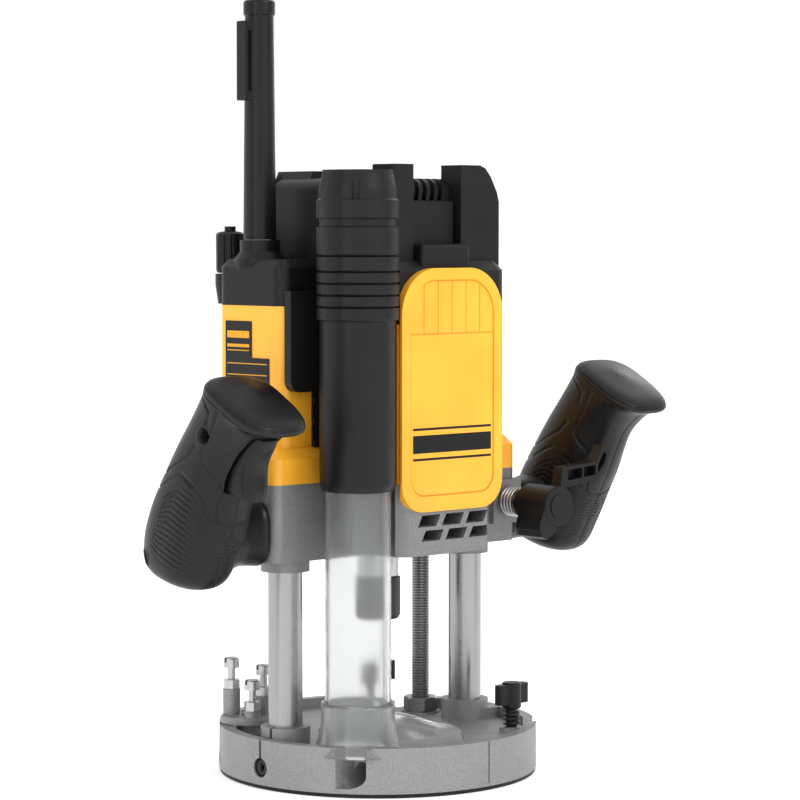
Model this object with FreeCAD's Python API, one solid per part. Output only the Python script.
import FreeCAD, Part
import math
import os

# Plunge router: a motor carriage that slides down two guide columns onto a round base.
# Millimetres, +Z up.  The origin is where the spindle axis meets the underside of the sole.
# The front panel faces -Y, the speed and rating side with the trigger handle is -X.

# ---- driving dimensions -------------------------------------------------------------------

BASE_R = 85.0            # base casting radius
SOLE_T = 2.0             # phenolic sole thickness
FLOOR_Z = 20.0           # top of the base floor inside the rim
RIM_TOP = 25.5
RIM_WIDTH = 6.0
OPENING_R = 32.0         # cutter opening
GUIDE_SCREW_Y = 40.0     # template guide screws, either side of the opening

COLUMN_X = 65.0
COLUMN_R = 9.0
COLUMN_BORE_R = 6.2
COLUMN_TOP = 172.0
SPRING_SEAT = 40.0       # where the plunge spring stands inside each column
COLLAR_TOP = 30.5
RUN_FIT = 0.05           # radial clearance of a running fit
SLACK = 0.3              # gap between neighbours that only pass each other

FENCE_Y = 52.5           # fence rod bores, either side of the centre
FENCE_Z = 11.2
FENCE_R = 6.2
FENCE_MOUTH = 66.0       # where each bore opens into a square slot at the rim
WING_X = 49.0            # wing screw position along a fence rod

TURRET = (-54.2, 42.5)
TURRET_R = 15.5
TURRET_POST_R = 10.0     # pitch radius of the three stop posts
TURRET_POST_TOPS = (43.0, 38.5, 33.0)
TURRET_FLOOR = 25.9
TURRET_TOP = 29.5

STOP_ROD = (57.0, 27.0)  # threaded height-stop rod
STOP_ROD_R = 5.0
STOP_ROD_TOP = 182.0

SHANK_R = 6.37           # collet bore for a half-inch cutter shank

DUST = (-51.0, -41.0)    # dust tube and its sleeve
DUST_R = 17.0
DUST_WALL = 1.8
DUST_TUBE_TOP = 200.0
DUST_PORT_R = 17.7       # hose socket in the collar
SLEEVE_R = 19.7
SLEEVE_RING_R = 21.2
SLEEVE_BOTTOM = 155.0
SLEEVE_TOP = 318.5

CAST_BOTTOM = 118.0      # carriage casting
CAST_TOP = 158.0
WING_HALF = 87.5         # half the width over the casting wings
CAST_FRONT = -18.0
CAST_REAR = 40.0
NOSE_FRONT = -55.0
BUSH_R = 12.7

HOUSING_HALF = 46.0      # motor housing
HOUSING_FRONT = -53.0
HOUSING_REAR = 45.0
SHOULDER_TOP = 176.0
HOUSING_TOP = 249.0
MOTOR_R = 40.5           # motor chamber
TOWER_OUT = 77.0
TOWER_FRONT = -11.5
TOWER_REAR = 41.0
CAP_TOP = 273.0

PANEL_FRONT = -57.5
PANEL_LEFT = -35.5
PANEL_RIGHT = 36.5
PANEL_BOTTOM = 143.0
PANEL_TOP = 268.5

COVER_TOP = 322.0        # black upper cover
COVER_SHOULDER = 272.0
TRUNK_TOP = 315.0        # top of the cover between its fins

HANDLE_X = 131.0
LEVER_AXIS = (77.0, 140.0)   # X and Z of the plunge lock lever's axis
LEVER_FACE = -60.0           # Y of the lever's front face
LEVER_HUB_R = 10.8

GUARD = (-64.0, 21.0)    # cord guard tube
GUARD_TOP = 407.0


# ---- small solids -------------------------------------------------------------------------

def vec(x, y, z):
    return FreeCAD.Vector(x, y, z)


def box(x0, x1, y0, y1, z0, z1):
    return Part.makeBox(x1 - x0, y1 - y0, z1 - z0, vec(x0, y0, z0))


def post(radius, z0, z1, at=(0.0, 0.0)):
    """An upright cylinder."""
    return Part.makeCylinder(radius, z1 - z0, vec(at[0], at[1], z0))


def bar(radius, start, end):
    """A cylinder from one point to another."""
    start = vec(*start)
    along = vec(*end) - start
    return Part.makeCylinder(radius, along.Length, start, along)


def ring(outer, inner, z0, z1, at=(0.0, 0.0)):
    return post(outer, z0, z1, at).cut(post(inner, z0 - 1, z1 + 1, at))


def hexagon(across_flats, z0, z1, at=(0.0, 0.0)):
    corner = across_flats / math.sqrt(3)
    points = []
    for i in range(7):
        angle = math.radians(60 * i)
        points.append(vec(at[0] + corner * math.cos(angle), at[1] + corner * math.sin(angle), z0))
    return Part.Face(Part.makePolygon(points)).extrude(vec(0, 0, z1 - z0))


def plan(points, z0, z1):
    """A prism over a polygon drawn in plan."""
    outline = [vec(x, y, z0) for x, y in points]
    return Part.Face(Part.makePolygon(outline + outline[:1])).extrude(vec(0, 0, z1 - z0))


def front_plate(points, y0, y1):
    """A prism over a polygon drawn in X and Z."""
    outline = [vec(x, y0, z) for x, z in points]
    return Part.Face(Part.makePolygon(outline + outline[:1])).extrude(vec(0, y1 - y0, 0))


def side_plate(points, x0, x1):
    """A prism over a polygon drawn in Y and Z."""
    outline = [vec(x0, y, z) for y, z in points]
    return Part.Face(Part.makePolygon(outline + outline[:1])).extrude(vec(x1 - x0, 0, 0))


def turned(profile, at=(0.0, 0.0)):
    """A solid of revolution about an upright axis, from radius and height pairs."""
    outline = [vec(at[0] + r, at[1], z) for r, z in profile]
    face = Part.Face(Part.makePolygon(outline + outline[:1]))
    return face.revolve(vec(at[0], at[1], 0), vec(0, 0, 1), 360)


def fuse(shapes):
    result = shapes[0]
    for shape in shapes[1:]:
        result = result.fuse(shape)
    return result.removeSplitter()


def cut(shape, tools):
    for tool in tools:
        shape = shape.cut(tool)
    return shape


def is_upright(edge):
    start = edge.valueAt(edge.FirstParameter)
    end = edge.valueAt(edge.LastParameter)
    return edge.Curve.TypeId == "Part::GeomLine" and abs(start.x - end.x) + abs(start.y - end.y) < 1e-6


def round_uprights(shape, radius, keep=lambda x, y: True):
    """Round the upright corner edges whose place in plan passes the test."""
    edges = []
    for edge in shape.Edges:
        if is_upright(edge):
            start = edge.valueAt(edge.FirstParameter)
            if keep(start.x, start.y):
                edges.append(edge)
    return shape.makeFillet(radius, edges)


def round_along_y(shape, radius, keep=lambda x, z: True):
    """Round the corner edges that run along Y and whose place in X and Z passes the test."""
    edges = []
    for edge in shape.Edges:
        start = edge.valueAt(edge.FirstParameter)
        end = edge.valueAt(edge.LastParameter)
        level = abs(start.x - end.x) + abs(start.z - end.z) < 1e-6
        if level and edge.Curve.TypeId == "Part::GeomLine" and keep(start.x, start.z):
            edges.append(edge)
    return shape.makeFillet(radius, edges)


def mirrored(shape):
    """The same solid on the other side of the YZ plane."""
    return shape.mirror(vec(0, 0, 0), vec(1, 0, 0))


def write(node, *shapes):
    shape = shapes[0] if len(shapes) == 1 else Part.makeCompound(list(shapes))
    shape.exportStep("parts/" + node + ".step")


def turret_posts():
    """Centres of the three stop posts, the depth rod's own post first."""
    places = []
    for angle in (120, 0, 240):
        turn = math.radians(angle)
        places.append((TURRET[0] + TURRET_POST_R * math.cos(turn),
                       TURRET[1] + TURRET_POST_R * math.sin(turn)))
    return places


def helix_wire(radius, wire_radius, pitch, z0, z1, at=(0.0, 0.0)):
    """An open coil spring; its fine wire is drawn with eight flats."""
    height = z1 - z0 - 2 * wire_radius
    spine = Part.Wire(Part.makeHelix(pitch, height, radius).Edges)
    spine.translate(vec(at[0], at[1], z0 + wire_radius))
    start = vec(at[0] + radius, at[1], z0 + wire_radius)
    corners = []
    for i in range(9):
        angle = math.radians(45 * i)
        corners.append(start + vec(math.cos(angle), 0, math.sin(angle)) * wire_radius)
    section = Part.makePolygon(corners)
    return spine.makePipeShell([section], True, True)


# ---- base ---------------------------------------------------------------------------------

def base_casting():
    floor = post(BASE_R, SOLE_T, FLOOR_Z)
    rim = ring(BASE_R, BASE_R - RIM_WIDTH, FLOOR_Z, RIM_TOP)
    raised = [rim]
    for side in (-1, 1):
        raised.append(post(COLUMN_R + 4, FLOOR_Z, COLLAR_TOP, (side * COLUMN_X, 0)))
        raised.append(post(6.5, FLOOR_Z, FLOOR_Z + 3, (WING_X, side * FENCE_Y)))
    raised.append(box(COLUMN_X, COLUMN_X + 14.5, -13, 13, FLOOR_Z, RIM_TOP))
    raised.append(post(10.5, FLOOR_Z, FLOOR_Z + 1, STOP_ROD))
    raised.append(post(8.5, FLOOR_Z, TURRET_FLOOR - 0.1, TURRET))
    casting = fuse([floor] + raised)

    cuts = [post(OPENING_R, 0, FLOOR_Z + 1)]
    for side in (-1, 1):
        column = (side * COLUMN_X, 0)
        cuts.append(post(COLUMN_R + RUN_FIT, 4, COLLAR_TOP + 1, column))
        # clamp screw bore and the slit it closes round the column
        cuts.append(bar(5.0, (side * 90, -3, 11), (side * 79, -3, 11)))
        cuts.append(bar(3.1, (side * 80, -3, 11), (side * 70, -3, 11)))
        cuts.append(box(min(side * 90, side * 72), max(side * 90, side * 72), -3.8, -2.2, 11,
                        COLLAR_TOP + 1))
        # fence rod bore, open at the top where it crosses the rim
        cuts.append(bar(FENCE_R, (-90, side * FENCE_Y, FENCE_Z), (90, side * FENCE_Y, FENCE_Z)))
        for end in (-1, 1):
            for start, bottom in ((58, FENCE_Z), (FENCE_MOUTH, 4.6)):
                low, high = sorted((end * start, end * 90))
                cuts.append(box(low, high, side * FENCE_Y - FENCE_R, side * FENCE_Y + FENCE_R, bottom,
                                RIM_TOP + 1))
        cuts.append(post(3.05, FENCE_Z, FLOOR_Z + 4, (WING_X, side * FENCE_Y)))
        cuts.append(post(2.1, SOLE_T - 1, 14, (0, side * GUIDE_SCREW_Y)))
        # centring marks on the rim
        low, high = sorted((side * (BASE_R - 0.6), side * (BASE_R + 1)))
        cuts.append(box(-0.6, 0.6, low, high, 4, RIM_TOP + 1))
    for place in sole_screw_places():
        cuts.append(post(2.1, SOLE_T - 1, 14, place))
    cuts.append(post(STOP_ROD_R + RUN_FIT, 6, FLOOR_Z + 2, STOP_ROD))
    cuts.append(post(3.05, 6, TURRET_FLOOR + 1, TURRET))
    return cut(casting, cuts)


def sole_screw_places():
    return [(72 * math.cos(math.radians(a)), 72 * math.sin(math.radians(a))) for a in (20, 160, 200, 340)]


def base_sole():
    sole = post(BASE_R - 0.4, 0, SOLE_T)
    cuts = [post(OPENING_R + 0.5, -1, SOLE_T + 1)]
    for side in (-1, 1):
        cuts.append(post(3.0, -1, SOLE_T + 1, (0, side * GUIDE_SCREW_Y)))
    for place in sole_screw_places():
        cuts.append(post(4.3, -1, SOLE_T + 1, place))
    return cut(sole, cuts)


def sole_screws():
    screws = []
    for place in sole_screw_places():
        head = turned([(0, 0.5), (4.0, 0.5), (2.0, SOLE_T), (0, SOLE_T)], place)
        drive = hexagon(2.5, 0, 1.4, place)
        screws.append(head.fuse(post(2.0, SOLE_T, 12, place)).cut(drive))
    return screws


def column(side):
    """Steel column, solid at the foot and bored from SPRING_SEAT up to hold its plunge spring."""
    at = (side * COLUMN_X, 0)
    return turned([(0, 4), (COLUMN_R - 0.5, 4), (COLUMN_R, 4.5), (COLUMN_R, COLUMN_TOP - 0.8),
                   (COLUMN_R - 0.8, COLUMN_TOP), (COLUMN_BORE_R, COLUMN_TOP), (COLUMN_BORE_R, SPRING_SEAT),
                   (0, SPRING_SEAT)], at)


def column_clamp_screws():
    screws = []
    for side in (-1, 1):
        head = bar(4.9, (side * 79.1, -3, 11), (side * 84, -3, 11))
        shank = bar(3.0, (side * 75.2, -3, 11), (side * 79.1, -3, 11))
        socket = bar(2.2, (side * 80.5, -3, 11), (side * 85, -3, 11))
        screws.append(head.fuse(shank).cut(socket))
    return screws


def wing_screw(side):
    """Winged plastic knob and the steel stud moulded into it."""
    at = (WING_X, side * FENCE_Y)
    hub = turned([(0, 33), (4.6, 33), (5.2, 34), (5.2, 46.2), (4.4, 47), (0, 47)], at)
    wing = box(at[0] - 11, at[0] + 11, at[1] - 2.8, at[1] + 2.8, 35.5, 46)
    wing = round_uprights(wing, 2.2)
    knob = hub.fuse(wing).removeSplitter()
    return [knob.cut(post(3.0, 32, 42, at)), post(2.98, 17.8, 42, at)]


def wing_springs():
    return [helix_wire(4.0, 0.6, 2.4, FLOOR_Z + 3.05, 32.7, (WING_X, side * FENCE_Y)) for side in (-1, 1)]


def stop_rod():
    """Threaded rod with one milled flat."""
    rod = post(STOP_ROD_R, 6, STOP_ROD_TOP, STOP_ROD)
    x, y = STOP_ROD
    flat = box(x - 7.2, x - 4.2, y - 6, y + 6, 32, STOP_ROD_TOP - 40)
    groove = turned([(4.4, 0), (5.4, -0.5), (5.4, 0.5)], STOP_ROD)
    grooves = []
    z = 34.0
    while z < CAST_BOTTOM - 8:
        grooves.append(groove.translated(vec(0, 0, z)))
        z += 1.5
    return rod.cut(Part.makeCompound(grooves)).cut(flat)


def stop_rod_nuts():
    """The lock nut on the base and the stop nut above the carriage that holds its top position."""
    nuts = []
    for z0, z1 in ((FLOOR_Z + 1, FLOOR_Z + 9), (CAST_TOP + 0.4, CAST_TOP + 8.4)):
        nut = hexagon(17, z0, z1, STOP_ROD).common(
            turned([(0, z0), (8.6, z0), (9.9, z0 + 1.2), (9.9, z1 - 1.2), (8.6, z1), (0, z1)], STOP_ROD))
        nuts.append(nut.cut(post(STOP_ROD_R + RUN_FIT, z0 - 1, z1 + 1, STOP_ROD)))
    return nuts


def dust_window():
    """The space through which chips pass from the cutter opening into the foot of the dust tube."""
    window = box(5, DUST_R + 9, -10, 10, FLOOR_Z + 3.2, 40)
    window.rotate(vec(0, 0, 0), vec(0, 0, 1), math.degrees(math.atan2(-DUST[1], -DUST[0])))
    return window.translated(vec(DUST[0], DUST[1], 0))


def dust_tube():
    tube = ring(DUST_R, DUST_R - DUST_WALL, FLOOR_Z + 3, DUST_TUBE_TOP, DUST)
    rim = ring(BASE_R + 20, BASE_R - RIM_WIDTH - SLACK, 0, RIM_TOP + SLACK)
    return cut(tube, [dust_window(), rim])


def dust_shroud():
    """Clear hood at the cutter opening: a foot that holds the tube and a tapering chute round the front."""
    foot = turned([(DUST_R + 0.05, FLOOR_Z + 8), (DUST_R + 0.05, 46), (DUST_R + 2, 46), (DUST_R + 2.4, 34),
                   (DUST_R + 5, FLOOR_Z + 8), (DUST_R + 5, FLOOR_Z + 0.2), (DUST_R - 0.8, FLOOR_Z + 0.2),
                   (DUST_R - 0.8, FLOOR_Z + 2.9), (DUST_R + 2.6, FLOOR_Z + 2.9),
                   (DUST_R + 2.6, FLOOR_Z + 8)], DUST)
    foot = foot.common(post(BASE_R - RIM_WIDTH - 0.3, 0, 60))
    sections = []
    for angle, inner, top in ((234, 44, 37.5), (248, 45, 35.5), (262, 46, 33), (278, 47, 30)):
        turn = math.radians(angle)
        outer = 60
        rows = [(outer, FLOOR_Z + 0.2), (outer, FLOOR_Z + 3.2), (inner, top), (inner, top - 2.2),
                (outer - 2, FLOOR_Z + 0.2)]
        points = [vec(r * math.cos(turn), r * math.sin(turn), z) for r, z in rows]
        sections.append(Part.makePolygon(points + points[:1]))
    shroud = foot.fuse(Part.makeLoft(sections, True, True))
    return cut(shroud, [post(DUST_R + 0.05, FLOOR_Z + 3, 60, DUST), dust_window()])


def turret_plate():
    at = TURRET
    plate = turned([(3.1, TURRET_FLOOR), (TURRET_R, TURRET_FLOOR), (TURRET_R, TURRET_TOP - 1),
                    (TURRET_R - 1, TURRET_TOP), (3.1, TURRET_TOP)], at)
    posts = []
    bores = []
    for place, top in zip(turret_posts(), TURRET_POST_TOPS):
        posts.append(post(4.6, TURRET_TOP - 1, top, place))
        bores.append(post(2.05, TURRET_FLOOR - 1, top + 1, place))
    return cut(fuse([plate] + posts), bores)


def turret_pivot():
    head = turned([(0, TURRET_TOP + 0.1), (4.2, TURRET_TOP + 0.1), (4.2, TURRET_TOP + 2),
                   (3.4, TURRET_TOP + 2.8),
                   (0, TURRET_TOP + 2.8)], TURRET)
    slot = box(TURRET[0] - 5, TURRET[0] + 5, TURRET[1] - 0.6, TURRET[1] + 0.6, TURRET_TOP + 1.8,
               TURRET_TOP + 4)
    return head.fuse(post(3.02, 7, TURRET_TOP + 0.2, TURRET)).cut(slot)


def turret_screws():
    """Slotted screws that set each post's exact height."""
    screws = []
    for place, top in zip(turret_posts(), TURRET_POST_TOPS):
        nut_top = top + 5.2
        head = nut_top + 6.3
        shank = post(2.0, TURRET_FLOOR + 1, head, place)
        cap = turned([(0, head), (4.2, head), (4.2, head + 4.6), (3.6, head + 5.2), (0, head + 5.2)], place)
        slot = box(place[0] - 5, place[0] + 5, place[1] - 0.7, place[1] + 0.7, head + 2.8, head + 6)
        screws.append(shank.fuse(cap).cut(slot))
    return screws


def turret_nuts():
    nuts = []
    for place, top in zip(turret_posts(), TURRET_POST_TOPS):
        nut = hexagon(8, top + 0.02, top + 5.0, place)
        nuts.append(nut.cut(post(2.05, top - 1, top + 6, place)))
    return nuts


# ---- carriage -----------------------------------------------------------------------------

def wing_plan(z0, z1):
    """The outline shared by the casting wings and the yellow shoulder above them."""
    block = box(-WING_HALF, WING_HALF, CAST_FRONT, CAST_REAR, z0, z1)
    return round_uprights(block, 6)


def nose_plan(z0, z1, inset=0.0):
    front = NOSE_FRONT + inset
    half = 40.0 - inset
    return plan([(-half, 0), (-half, front + 13), (-28, front), (28, front), (half, front + 13),
                 (half, 0)], z0, z1)


def sleeve_recess(z0, z1):
    return post(SLEEVE_R + 0.25, z0, z1, DUST)


def carriage_casting():
    body = [wing_plan(CAST_BOTTOM, CAST_TOP), nose_plan(CAST_BOTTOM + 2, CAST_TOP)]
    for side in (-1, 1):
        body.append(post(BUSH_R, CAST_BOTTOM - 6.5, CAST_BOTTOM + 1, (side * COLUMN_X, 0)))
    rod = turret_posts()[0]
    body.append(post(9.0, 143, CAST_TOP, rod))
    body.append(box(LEVER_AXIS[0] - 10.5, WING_HALF, -21, CAST_FRONT + 1, 128, 152))
    casting = fuse(body)

    cuts = [sleeve_recess(CAST_BOTTOM - 8, CAST_TOP + 1)]
    for side in (-1, 1):
        cuts.append(post(12.05, CAST_BOTTOM - 4, CAST_TOP + 1, (side * COLUMN_X, 0)))
        cuts.append(post(COLUMN_R + 0.5, CAST_BOTTOM - 7, CAST_BOTTOM, (side * COLUMN_X, 0)))
    # spindle nose, bearing seat and fan chamber
    cuts.append(post(13.0, CAST_BOTTOM - 1, CAST_TOP + 1))
    cuts.append(post(20.05, 122, CAST_TOP + 1))
    cuts.append(post(38.0, 138, CAST_TOP + 1))
    cuts.append(post(STOP_ROD_R + 0.5, CAST_BOTTOM - 1, CAST_TOP + 1, STOP_ROD))
    cuts.append(post(8.05, CAST_BOTTOM - 1, CAST_BOTTOM + 12, STOP_ROD))
    # room for the turret posts at full plunge
    cuts.append(post(TURRET_R + 1.5, CAST_BOTTOM - 1, 143, TURRET))
    cuts.append(post(4.05, 142, CAST_TOP + 1, rod))
    # clamp pin bore of the plunge lock, from the lever to the right column bush
    lever_x, lever_z = LEVER_AXIS
    cuts.append(bar(4.05, (lever_x, -30, lever_z), (lever_x, -15, lever_z)))
    # spindle lock button bore at the rear
    cuts.append(bar(6.05, (0, 44, 131), (0, 21, 131)))
    # grille: two rows of slanted slots into the fan chamber
    for low, high, shift in ((135.0, 141.0, 0.0), (127.5, 133.0, 2.5)):
        for start in (-22.0, -5.0, 12.0):
            x = start + shift
            cuts.append(front_plate([(x, low), (x + 13, low), (x + 16, high), (x + 3, high)], -60, -30))
    return cut(casting, cuts)


def column_bushes():
    return [ring(12.0, COLUMN_R + RUN_FIT, CAST_BOTTOM - 3.9, CAST_TOP, (side * COLUMN_X, 0))
            for side in (-1, 1)]


def stop_rod_bush():
    return turned([(STOP_ROD_R + 0.1, CAST_BOTTOM - 8), (7.2, CAST_BOTTOM - 8), (8.0, CAST_BOTTOM - 7),
                   (8.0, CAST_BOTTOM + 11.9), (STOP_ROD_R + 0.1, CAST_BOTTOM + 11.9)], STOP_ROD)


def motor_housing():
    """Yellow shell: the shoulder over the casting, the motor chamber and the two column towers."""
    shoulder = wing_plan(CAST_TOP, SHOULDER_TOP)
    shoulder = shoulder.makeChamfer(5, [e for e in shoulder.Edges if e.BoundBox.ZMin > SHOULDER_TOP - 0.1])
    centre = box(-HOUSING_HALF, HOUSING_HALF, HOUSING_FRONT, HOUSING_REAR, CAST_TOP, HOUSING_TOP)
    centre = round_uprights(centre, 9)
    body = [shoulder, centre]
    for side in (-1, 1):
        low, high = sorted((side * (HOUSING_HALF - 6), side * TOWER_OUT))
        tower = box(low, high, TOWER_FRONT, TOWER_REAR, CAST_TOP, HOUSING_TOP)
        body.append(round_uprights(tower, 7, lambda x, y: abs(x) > HOUSING_HALF))
    housing = fuse(body)

    cuts = [post(MOTOR_R, CAST_TOP - 1, HOUSING_TOP + 1), sleeve_recess(CAST_TOP - 1, HOUSING_TOP + 1)]
    cuts.append(post(SLEEVE_RING_R + 0.3, 240, HOUSING_TOP + 1, DUST))
    for side in (-1, 1):
        cuts.append(post(COLUMN_R + 1, CAST_TOP - 1, HOUSING_TOP + 1, (side * COLUMN_X, 0)))
        # air slots in the flanks of the motor chamber, behind the side grilles
        for i in range(6):
            z = SHOULDER_TOP + 8 + 11.5 * i
            low, high = sorted((side * 30, side * 48))
            cuts.append(box(low, high, -17.0, TOWER_FRONT - 1.0, z, z + 7))
    cuts.append(post(10.5, CAST_TOP - 1, HOUSING_TOP + 1, STOP_ROD))
    return cut(housing, cuts)


def front_panel():
    left, right = PANEL_LEFT, PANEL_RIGHT
    plate = box(left, right, PANEL_FRONT, HOUSING_FRONT - 0.02, PANEL_BOTTOM, PANEL_TOP)
    plate = round_along_y(plate, 15, lambda x, z: z < 200)
    plate = round_along_y(plate, 24, lambda x, z: z > 250)
    field = box(left + 6, right - 6, PANEL_FRONT - 1, PANEL_FRONT + 1.2, PANEL_BOTTOM + 8, PANEL_TOP - 6)
    field = round_along_y(field, 10, lambda x, z: z < 200)
    field = round_along_y(field, 18, lambda x, z: z > 250)
    lower = nose_plan(CAST_BOTTOM, CAST_TOP + 0.02, -0.02)
    sleeve = post(SLEEVE_RING_R + SLACK, PANEL_BOTTOM - 1, PANEL_TOP + 1, DUST)
    return cut(plate, [field, lower, sleeve])


def rating_plate():
    """Stepped rating plate on the left tower, with nothing printed on it."""
    x0, x1 = -TOWER_OUT - 0.6, -TOWER_OUT - 0.02
    return side_plate([(-2, 190), (33, 190), (33, 241), (12, 241), (12, 222), (-2, 222)], x0, x1)


def tower_strip():
    """Black wiring cover down the front of the left tower."""
    strip = box(-75, -57.2, -16.5, TOWER_FRONT - 0.02, 205, 257)
    strip = round_along_y(strip, 6, lambda x, z: z < 210)
    return strip


def side_grille(side):
    """Ladder of air slots in the corner between a tower and the motor chamber."""
    low, high = sorted((side * 46.3, side * 57.0))
    plate = box(low, high, -14.3, TOWER_FRONT - 0.05, SHOULDER_TOP + 0.1, 257)
    slots = []
    for i in range(7):
        z = SHOULDER_TOP + 3.5 + 11.2 * i
        a, b = sorted((side * 48.5, side * 58.5))
        slots.append(box(a, b, -15, -12.6, z, z + 8))
    return cut(plate, slots)


def tower_cap(side):
    """Black cap over a tower; the left one carries the cord guard and the depth rod's top guide."""
    low, high = sorted((side * (HOUSING_HALF + 0.3), side * TOWER_OUT))
    block = box(low, high, TOWER_FRONT, TOWER_REAR, HOUSING_TOP + 0.02, CAP_TOP)
    block = round_uprights(block, 7, lambda x, y: abs(x) > HOUSING_HALF + 2)
    top = [e for e in block.Edges if e.BoundBox.ZMin > CAP_TOP - 0.1 and abs(e.CenterOfMass.x) > HOUSING_HALF + 1]
    block = block.makeChamfer(4, top)
    body = [block]
    if side < 0:
        rod = turret_posts()[0]
        body.append(turned([(0, CAP_TOP - 6), (13.5, CAP_TOP - 6), (13.5, CAP_TOP), (10.5, CAP_TOP + 4),
                            (10.5, CAP_TOP + 9.9), (0, CAP_TOP + 9.9)], GUARD))
        body.append(turned([(0, HOUSING_TOP + 0.1), (6.6, HOUSING_TOP + 0.1), (8.0, HOUSING_TOP + 10),
                            (8.0, HOUSING_TOP + 16), (0, HOUSING_TOP + 16)], rod))
        body.append(box(rod[0] - 5, rod[0] + 5, 38, rod[1], HOUSING_TOP + 0.1, HOUSING_TOP + 14))
    cap = fuse(body)
    cuts = [post(COLUMN_R + 1, HOUSING_TOP - 1, CAP_TOP - 8, (side * COLUMN_X, 0))]
    if side < 0:
        cuts.append(post(4.1, HOUSING_TOP - 1, HOUSING_TOP + 20, turret_posts()[0]))
        cuts.append(post(5.0, CAP_TOP - 7, CAP_TOP + 11, GUARD))
    else:
        cuts.append(post(10.5, HOUSING_TOP - 1, CAP_TOP - 5, STOP_ROD))
    return cut(cap, cuts)


def plunge_springs():
    """Long springs in the hollow columns that push the carriage up."""
    return [helix_wire(4.6, 0.8, 10.0, SPRING_SEAT + 0.05, CAP_TOP - 8.05, (side * COLUMN_X, 0))
            for side in (-1, 1)]


def upper_cover():
    """Black motor cover with two bumper fins at the front, louvres between them and ribs on top."""
    half = 45.0
    shoulder = box(-HOUSING_HALF, HOUSING_HALF, HOUSING_FRONT, HOUSING_REAR, HOUSING_TOP + 0.02,
                   COVER_SHOULDER)
    shoulder = round_uprights(shoulder, 9)
    shoulder = shoulder.makeChamfer(5, [e for e in shoulder.Edges if e.BoundBox.ZMin > COVER_SHOULDER - 0.1])
    trunk = round_uprights(box(-half, half, -38, HOUSING_REAR - 3, COVER_SHOULDER - 6, TRUNK_TOP), 10)
    trunk = trunk.makeFillet(8, [e for e in trunk.Edges if e.BoundBox.ZMin > TRUNK_TOP - 0.1])
    body = [shoulder, trunk]
    for side in (-1, 1):
        fin = [(side * 17, COVER_SHOULDER - 8), (side * half, COVER_SHOULDER - 8), (side * half, 303),
               (side * 43.5, 308), (side * 39, 316), (side * 35, COVER_TOP - 1.5), (side * 31, COVER_TOP),
               (side * 17, COVER_TOP)]
        body.append(front_plate(fin, -46, -31))
        rear = [(side * 22, 300), (side * half, 300), (side * 35, COVER_TOP - 3),
                (side * 22, COVER_TOP - 3)]
        body.append(front_plate(rear, 12, HOUSING_REAR - 5))
    pad = box(-16, 19, -52, -37, COVER_SHOULDER - 4, 281)
    body.append(pad.makeFillet(3, [e for e in pad.Edges if e.BoundBox.ZMin > 280.9 or is_upright(e)]))
    body.append(box(-15, 15, -42, -37, 281, 303))
    cover = fuse(body)

    cuts = [post(38.0, HOUSING_TOP - 1, 305)]
    cuts.append(post(SLEEVE_RING_R + 0.3, HOUSING_TOP - 1, COVER_TOP + 1, DUST))
    # louvres between the fins
    for i in range(5):
        x = -15 + 5.6 * i
        cuts.append(front_plate([(x, 303.5), (x + 3, 303.5), (x + 5.6, TRUNK_TOP + 1),
                                 (x + 2.6, TRUNK_TOP + 1)],
                                -44, -14))
    for i in range(5):
        x = -17 + 7.5 * i
        cuts.append(box(x, x + 4, 38, 50, 276, 300))
    # speed dial slot at the rear, right of centre
    cuts.append(bar(11.4, (24, 37, 262), (24, 48, 262)))
    return cut(cover, cuts)


def dust_sleeve():
    profile = [(DUST_R + SLACK, SLEEVE_BOTTOM), (SLEEVE_R - 1.5, SLEEVE_BOTTOM),
               (SLEEVE_R, SLEEVE_BOTTOM + 4),
               (SLEEVE_R, 242)]
    bands = (242.0, 249.0, 255.0, 261.0, 267.0, 275.0, 290.0)
    for low, high in zip(bands, bands[1:]):
        profile += [(SLEEVE_RING_R - 0.6, low + 0.2), (SLEEVE_RING_R, low + 0.9),
                    (SLEEVE_RING_R, high - 0.6),
                    (SLEEVE_R, high - 0.1)]
    profile += [(SLEEVE_R, 294), (DUST_R + SLACK, 294)]
    return turned(profile, DUST)


def dust_collar():
    """Twist-lock collar at the top of the sleeve, open for a hose."""
    z = 294.1
    collar = turned([(DUST_PORT_R, z), (SLEEVE_RING_R, z), (SLEEVE_RING_R, 303), (SLEEVE_RING_R - 1, 304),
                     (SLEEVE_RING_R - 1, 308), (SLEEVE_RING_R - 3, SLEEVE_TOP - 2), (DUST_PORT_R + 0.6,
                                                                                     SLEEVE_TOP),
                     (DUST_PORT_R, SLEEVE_TOP)], DUST)
    notches = []
    for i in range(4):
        notch = box(-2.0, 2.0, DUST_PORT_R + 0.9, SLEEVE_RING_R + 1, 303.5, SLEEVE_TOP + 1)
        notch.rotate(vec(0, 0, 0), vec(0, 0, 1), 45 + 90 * i)
        notches.append(notch.translated(vec(DUST[0], DUST[1], 0)))
    return cut(collar, notches)


def cord_guard():
    """Stiff tube that carries the cord up clear of the work, with a tie loop near its top."""
    x, y = GUARD
    tube = turned([(5.0, CAP_TOP + 10), (8.6, CAP_TOP + 10), (7.5, 399), (8.3, 399.5), (8.3, GUARD_TOP - 1),
                   (7.6, GUARD_TOP), (5.0, GUARD_TOP)], GUARD)
    loop = box(x - 12.5, x - 6.0, y - 3.5, y + 3.5, 355, 396)
    slot = box(x - 10.3, x - 8.2, y - 5, y + 5, 360, 391)
    return tube.fuse(loop.cut(slot)).removeSplitter()


# ---- motor and spindle --------------------------------------------------------------------

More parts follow.
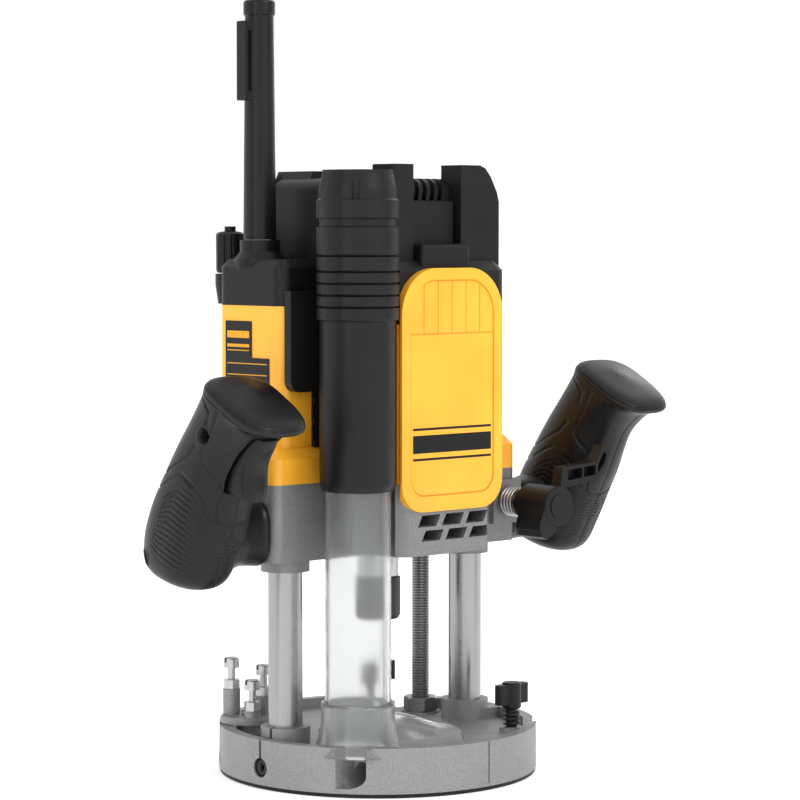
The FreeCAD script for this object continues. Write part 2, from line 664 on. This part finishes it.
def spindle():
    """Shaft with a collet nose below, hollow as deep as a shank can go."""
    deep = 126
    return turned([(0, deep), (SHANK_R + 0.2, deep), (SHANK_R + 0.2, 96), (8.0, 96), (9.0, 103.6),
                   (11.0, 104),
                   (11.0, 119), (8.5, 120), (8.5, 134), (8, 134.2), (8, 256), (6, 256), (6, 267), (0, 267)])


def collet():
    outer = turned([(SHANK_R, 84), (8.6, 84), (10.4, 88), (10.4, 95.9), (SHANK_R, 95.9)])
    slots = [box(-12, 12, -0.5, 0.5, 83, 93), box(-0.5, 0.5, -12, 12, 83, 93)]
    return cut(outer, slots)


def collet_nut():
    nut = turned([(8.8, 81), (11.0, 81), (12.2, 83), (12.2, 103), (9.5, 103.4), (9.5, 103.4), (9.1, 97),
                  (10.6, 97),
                  (10.6, 88), (8.8, 84)])
    flats = [box(side * 11.3 - (0 if side > 0 else 5), side * 11.3 + (5 if side > 0 else 0), -9, 9, 82, 92)
             for side in (-1, 1)]
    return cut(nut, flats)


def ball_bearing(bore, outer, z0, z1):
    wall = (outer - bore) / 4
    inner = ring(bore + wall, bore + RUN_FIT, z0, z1)
    outside = ring(outer, outer - wall, z0, z1)
    balls = []
    middle = (outer + bore) / 2
    for i in range(8):
        turn = math.radians(45 * i)
        centre = vec(middle * math.cos(turn), middle * math.sin(turn), (z0 + z1) / 2)
        balls.append(Part.makeSphere(wall - 0.1, centre))
    return [inner, outside] + balls


def cooling_fan():
    hub = ring(14, 8.05, 141, 154)
    disc = ring(34, 13, 141, 143)
    blades = []
    for i in range(9):
        blade = box(13, 33, -0.8, 0.8, 142.5, 153)
        blade.rotate(vec(0, 0, 0), vec(0, 0, 1), 40 * i)
        blades.append(blade)
    return fuse([hub, disc] + blades)


def armature():
    core = ring(23.5, 8.05, 168, 218)
    slots = []
    for i in range(12):
        slot = box(17, 25, -1.4, 1.4, 167, 219)
        slot.rotate(vec(0, 0, 0), vec(0, 0, 1), 30 * i)
        slots.append(slot)
    return cut(core, slots)


def commutator():
    return ring(14, 8.05, 228, 248)


def stator():
    core = ring(39.8, 24.6, 168, 218)
    slots = []
    for side in (-1, 1):
        slots.append(box(min(side * 23, side * 31), max(side * 23, side * 31), -13, 13, 167, 219))
    return cut(core, slots)


def field_coils():
    coils = []
    for side in (-1, 1):
        low, high = sorted((side * 25.5, side * 30.5))
        coils.append(box(low, high, -12.5, 12.5, 163, 223))
    return coils


def carbon_brushes():
    return [box(min(s * 14.4, s * 27), max(s * 14.4, s * 27), -3, 3, 234, 242) for s in (-1, 1)]


def brush_holders():
    holders = []
    for s in (-1, 1):
        low, high = sorted((s * 17, s * 38))
        a, b = sorted((s * 16, s * 36))
        holders.append(box(low, high, -5, 5, 231.5, 244.5).cut(box(a, b, -3.1, 3.1, 233.9, 242.1)))
    return holders


def bearing_bridge():
    """Plate across the top of the motor chamber that seats the upper bearing."""
    plate = ring(37.8, 16.05, HOUSING_TOP + 0.1, 259)
    vents = []
    for i in range(6):
        hole = post(5, HOUSING_TOP - 1, 261, (27, 0))
        hole.rotate(vec(0, 0, 0), vec(0, 0, 1), 30 + 60 * i)
        vents.append(hole)
    return cut(plate.fuse(ring(18, 16.05, 258, 268)), vents)


def speed_module():
    return round_uprights(box(-22, 22, -14, 14, 284, 298), 2)


def speed_dial():
    x, z = 24, 262
    dial = bar(11.0, (x, 39, z), (x, 47.6, z))
    knurls = []
    for i in range(18):
        turn = math.radians(20 * i)
        tip = (x + 11.4 * math.cos(turn), 0, z + 11.4 * math.sin(turn))
        knurls.append(bar(0.9, (tip[0], 42, tip[2]), (tip[0], 49, tip[2])))
    return cut(dial, knurls)


def spindle_lock_button():
    stem = bar(5.95, (0, 24.3, 131), (0, CAST_REAR + 6.0, 131))
    rim = bar(8.0, (0, CAST_REAR + 6.0, 131), (0, CAST_REAR + 9.5, 131))
    return stem.fuse(rim).removeSplitter()


# ---- handles and controls -----------------------------------------------------------------

# handle sections from the foot upward: Y, Z, lean in degrees, half width in X, reach to the front of the
# trigger handle, reach to the front of the plain handle, reach to the rear
GRIP = ((1, 111, 15, 8, 11, 11, 11), (0, 114.5, 15, 16.5, 19.5, 19.5, 19.5),
        (-1.4, 121, 16, 19.4, 23, 23, 22.6),
        (-4.5, 131, 17, 20.6, 25, 25, 24), (-9, 142, 18, 20.8, 26.4, 26.4, 24), (-14, 152, 20, 20.8, 25,
                                                                                 26.4, 23),
        (-20.5, 163, 23, 20.6, 21.6, 26, 22), (-28, 175, 26, 20.0, 19.6, 24.6, 21),
        (-35.5, 185.5, 28, 19.9, 20, 22.6, 20.2), (-42, 193.5, 29, 20.6, 26, 26, 20.2),
        (-47, 199, 29, 20.8, 29, 29, 20.4), (-50, 202.5, 29, 21, 30, 30, 20.4), (-52, 205.3, 29, 19.8,
                                                                                 28.4, 28.4, 19.4),
        (-53.4, 207.9, 29, 16.6, 24, 24, 16.4), (-54.4, 209.8, 29, 9, 14, 14, 10))
HANDLE_SCREWS = ((-40, 188), (10, 124))      # Y and Z of the screws that join the halves
TRIGGER_AT = (-52.7, 173.9)                  # Y and Z of the trigger's middle
TRIGGER_LEAN = 22.0
TRIGGER_TRAVEL = 5.0
TRIGGER_POCKET = TRIGGER_TRAVEL + 9.6        # depth of the trigger's pocket behind its middle
LOCK_ON_AT = (-26.0, 180.0)


def grip_loft(sections, has_trigger, shrink=0.0):
    wires = []
    for y, z, lean, half_width, trigger_front, plain_front, rear in sections:
        turn = math.radians(lean)
        back = vec(0, math.cos(turn), math.sin(turn))
        front = trigger_front if has_trigger else plain_front
        centre = vec(-HANDLE_X, y, z) + back * ((rear - front) / 2)
        across = back * ((front + rear) / 2 - shrink)
        aside = vec(half_width - shrink, 0, 0)
        wires.append(Part.Wire([Part.Ellipse(centre + across, centre + aside, centre).toShape()]))
    return Part.makeLoft(wires, True)


def in_trigger_frame(shape):
    """Move a solid from the trigger's own frame, where -Y is outward, onto the left handle."""
    shape.rotate(vec(0, 0, 0), vec(1, 0, 0), TRIGGER_LEAN)
    shape.translate(vec(-HANDLE_X, TRIGGER_AT[0], TRIGGER_AT[1]))
    return shape


def handle_solid(with_trigger):
    grip = grip_loft(GRIP, with_trigger)
    stem = box(-HANDLE_X + 8, -WING_HALF - 0.02, -15, 13, 116.5, 150)
    stem = stem.makeFillet(6, [e for e in stem.Edges if e.BoundBox.XLength > 20])
    handle = grip.fuse(stem)
    cuts = [grip_loft(GRIP[3:6], with_trigger, 3.2)]
    for y, z in HANDLE_SCREWS:
        cuts.append(bar(2.05, (-HANDLE_X - 17, y, z), (-HANDLE_X + 12.5, y, z)))
        cuts.append(bar(4.1, (-HANDLE_X - 30, y, z), (-HANDLE_X - 9, y, z)))
    if with_trigger:
        cuts.append(in_trigger_frame(box(-8.9, 8.9, -30, TRIGGER_POCKET, -16.9, 16.9)))
        cuts.append(in_trigger_frame(box(-7.3, 7.3, TRIGGER_POCKET - 0.1, 34.5, -15.3, -4.2)))
        y, z = LOCK_ON_AT
        cuts.append(bar(4.3, (-HANDLE_X + 11, y, z), (-HANDLE_X + 33, y, z)))
    return cut(handle, cuts)


def handle_halves(with_trigger):
    """Outer and inner clamshell halves of the left-hand handle."""
    handle = handle_solid(with_trigger)
    outer = handle.common(box(-HANDLE_X - 40, -HANDLE_X, -100, 60, 90, 230))
    inner = handle.common(box(-HANDLE_X, -WING_HALF, -100, 60, 90, 230))
    return outer, inner


def handle_screws():
    screws = []
    for y, z in HANDLE_SCREWS:
        head = bar(3.9, (-HANDLE_X - 12, y, z), (-HANDLE_X - 9.02, y, z))
        shank = bar(2.0, (-HANDLE_X - 9.1, y, z), (-HANDLE_X + 12, y, z))
        socket = bar(1.6, (-HANDLE_X - 13, y, z), (-HANDLE_X - 10.5, y, z))
        screws.append(head.fuse(shank).cut(socket))
    return screws + [mirrored(screw) for screw in screws]


def trigger():
    lever = box(-8.5, 8.5, -9, 9, -16.5, 16.5)
    lever = lever.makeFillet(3.5, [e for e in lever.Edges if e.BoundBox.YMax < -8.9])
    hollow = bar(25.3, (-20, -30.9, 0), (20, -30.9, 0))
    return in_trigger_frame(lever.cut(hollow))


def trigger_switch():
    return in_trigger_frame(box(-7, 7, TRIGGER_POCKET + 0.1, 34, -15, -4.5))


def lock_on_button():
    y, z = LOCK_ON_AT
    button = bar(4.0, (-HANDLE_X + 14.5, y, z), (-HANDLE_X + 24.0, y, z))
    tip = [e for e in button.Edges if e.BoundBox.XMin > -HANDLE_X + 23.9]
    return button.makeFillet(1.0, tip)


def lever_hub():
    """Barrel, its collar behind and the pointer lobe that hangs from it."""
    x, z = LEVER_AXIS
    hub = bar(LEVER_HUB_R, (x, LEVER_FACE, z), (x, -38, z))
    collar = bar(8.0, (x, -38, z), (x, -33.5, z))
    lobe = front_plate([(x - 9.5, z + 3), (x - 14, z - 8), (x - 14.5, z - 12), (x - 12.5, z - 16),
                        (x - 9, z - 17.5),
                        (x - 5, z - 15.5), (x - 1, z - 10), (x, z)], LEVER_FACE, -42)
    return fuse([hub, collar, lobe]).cut(bar(4.05, (x, -50, z), (x, -30, z)))


def plunge_lock_lever():
    """Barrel with an arm of open cells that bends up at its tip."""
    x, z = LEVER_AXIS
    outline = ((2, 9), (31, 12.5), (38.5, 20.5), (41, 27.5), (35.5, 31), (30.5, 22.5), (4, 20.5))
    cells = (((8, 13.2), (19, 14.3), (19, 19.7), (8, 18.9)),
             ((20.4, 14.4), (29.6, 15.3), (29.6, 20.6), (20.4, 19.8)),
             ((31.6, 16.2), (36.7, 21.4), (38.4, 26.2), (36.2, 27.6), (31.6, 20.4)))
    arm = front_plate([(x + a, z + b) for a, b in outline], LEVER_FACE + 0.8, LEVER_FACE + 8)
    lever = lever_hub().fuse(arm).removeSplitter()
    return cut(lever, [front_plate([(x + a, z + b) for a, b in cell], LEVER_FACE,
                                   LEVER_FACE + 6) for cell in cells])


def plunge_lock_pin():
    x, z = LEVER_AXIS
    return bar(4.0, (x, -49.8, z), (x, -15.5, z))


def plunge_lock_spring():
    """Torsion coil between the lever hub and the casting."""
    x, z = LEVER_AXIS
    coil = helix_wire(7.2, 0.8, 2.3, 0, 11.5)
    coil.rotate(vec(0, 0, 0), vec(1, 0, 0), 90)
    return coil.translated(vec(x, -21.4, z))


def depth_rod():
    place = turret_posts()[0]
    rod = post(4.0, 142.6, 284, place)
    scale = box(place[0] - 5, place[0] - 3.5, place[1] - 5, place[1] + 5, 165, 240)
    return rod.cut(scale)


def depth_knob():
    """Fluted fine-adjustment knob that turns on the rod's top guide."""
    place = turret_posts()[0]
    z = HOUSING_TOP + 16.4
    knob = turned([(4.8, z), (6.6, z), (7.5, z + 1), (7.5, 286), (6.0, 287), (3.0, 287.5), (3.0, 290),
                   (0, 290),
                   (0, 285), (4.8, 285)], place)
    flutes = []
    for i in range(12):
        turn = math.radians(30 * i)
        flutes.append(post(0.9, z + 2, 285, (place[0] + 7.8 * math.cos(turn),
                                             place[1] + 7.8 * math.sin(turn))))
    return cut(knob, flutes)


def depth_clamp_knob():
    x, y = turret_posts()[0]
    z = 150.5
    stem = bar(3.0, (x, y + 4.6, z), (x, y + 12, z))
    head = bar(8.0, (x, y + 10.5, z), (x, y + 20, z))
    lobes = []
    for i in range(6):
        turn = math.radians(60 * i)
        lobes.append(bar(1.8, (x + 8.6 * math.cos(turn), y + 10, z + 8.6 * math.sin(turn)),
                         (x + 8.6 * math.cos(turn), y + 21, z + 8.6 * math.sin(turn))))
    return cut(head.fuse(stem), lobes)


CASE_SCREWS = ((-80, -8), (-80, 31), (80, -8), (80, 31))     # casting to yellow housing
COVER_SCREWS = ((-40, 36), (40, 36))                         # upper cover to housing


def case_screw_bores():
    bores = []
    for place in CASE_SCREWS:
        bores.append(post(2.05, CAST_BOTTOM - 1, 169, place))
        bores.append(post(3.8, CAST_BOTTOM - 1, CAST_BOTTOM + 3.5, place))
    for place in COVER_SCREWS:
        bores.append(post(2.05, 231, 301, place))
        bores.append(post(4.2, 300, COVER_TOP + 1, place))
    return bores


def case_screws():
    screws = []
    for place in CASE_SCREWS:
        head = post(3.6, CAST_BOTTOM + 0.6, CAST_BOTTOM + 3.48, place)
        screws.append(head.fuse(post(2.0, CAST_BOTTOM + 3, 168, place)).cut(hexagon(3, 117, 120, place)))
    for place in COVER_SCREWS:
        head = post(4.0, 300.02, 304, place)
        screws.append(head.fuse(post(2.0, 232, 301, place)).cut(hexagon(3, 302, 305, place)))
    return screws


# ---- write every node ---------------------------------------------------------------------

def main():
    os.makedirs("parts", exist_ok=True)
    bores = case_screw_bores()
    clamp_x, clamp_y = turret_posts()[0]
    clamp_bore = bar(3.05, (clamp_x, clamp_y + 3, 150.5), (clamp_x, clamp_y + 12, 150.5))

    write("base_casting", base_casting())
    write("base_sole", base_sole())
    write("sole_screws", *sole_screws())
    write("guide_columns", column(-1), column(1))
    write("column_clamp_screws", *column_clamp_screws())
    write("wing_springs", *wing_springs())
    write("height_stop_rod", stop_rod())
    write("height_stop_nuts", *stop_rod_nuts())
    write("dust_tube", dust_tube())
    write("dust_shroud", dust_shroud())
    write("turret_pivot", turret_pivot())
    write("turret_plate", turret_plate())
    write("turret_screws", *turret_screws())
    write("turret_nuts", *turret_nuts())
    for name, side in (("front", -1), ("rear", 1)):
        write("wing_screw_" + name, *wing_screw(side))

    write("carriage_casting", cut(carriage_casting(), bores + [clamp_bore]))
    write("column_bushes", *column_bushes())
    write("stop_rod_bush", stop_rod_bush())
    write("motor_housing", cut(motor_housing(), bores))
    write("front_panel", front_panel())
    write("rating_plate", rating_plate())
    write("tower_strip", tower_strip())
    write("side_grilles", side_grille(-1), side_grille(1))
    write("tower_cap_left", tower_cap(-1))
    write("tower_cap_right", tower_cap(1))
    write("plunge_springs", *plunge_springs())
    write("upper_cover", cut(upper_cover(), bores))
    write("dust_sleeve", dust_sleeve())
    write("dust_collar", dust_collar())
    write("cord_guard", cord_guard())
    write("case_screws", *case_screws(), *handle_screws())
    write("stator", stator())
    write("field_coils", *field_coils())
    write("carbon_brushes", *carbon_brushes())
    write("brush_holders", *brush_holders())
    write("bearing_bridge", bearing_bridge())
    write("speed_module", speed_module())

    write("spindle", spindle())
    lower = ball_bearing(8.5, 20.0, 122.02, 134)
    upper = ball_bearing(6.0, 16.0, 257, 267)
    write("spindle_bearings", *lower, *upper)
    write("cooling_fan", cooling_fan())
    write("armature", armature())
    write("commutator", commutator())
    write("collet", collet())
    write("collet_nut", collet_nut())

    outer, inner = handle_halves(True)
    write("handle_left_outer", outer)
    write("handle_left_inner", inner)
    outer, inner = handle_halves(False)
    write("handle_right_outer", mirrored(outer))
    write("handle_right_inner", mirrored(inner))
    write("trigger", trigger())
    write("trigger_switch", trigger_switch())
    write("lock_on_button", lock_on_button())
    write("plunge_lock_lever", plunge_lock_lever())
    write("plunge_lock_pin", plunge_lock_pin())
    write("plunge_lock_spring", plunge_lock_spring())
    write("spindle_lock_button", spindle_lock_button())
    write("depth_rod", depth_rod())
    write("depth_knob", depth_knob())
    write("depth_clamp_knob", depth_clamp_knob())
    write("speed_dial", speed_dial())


main()
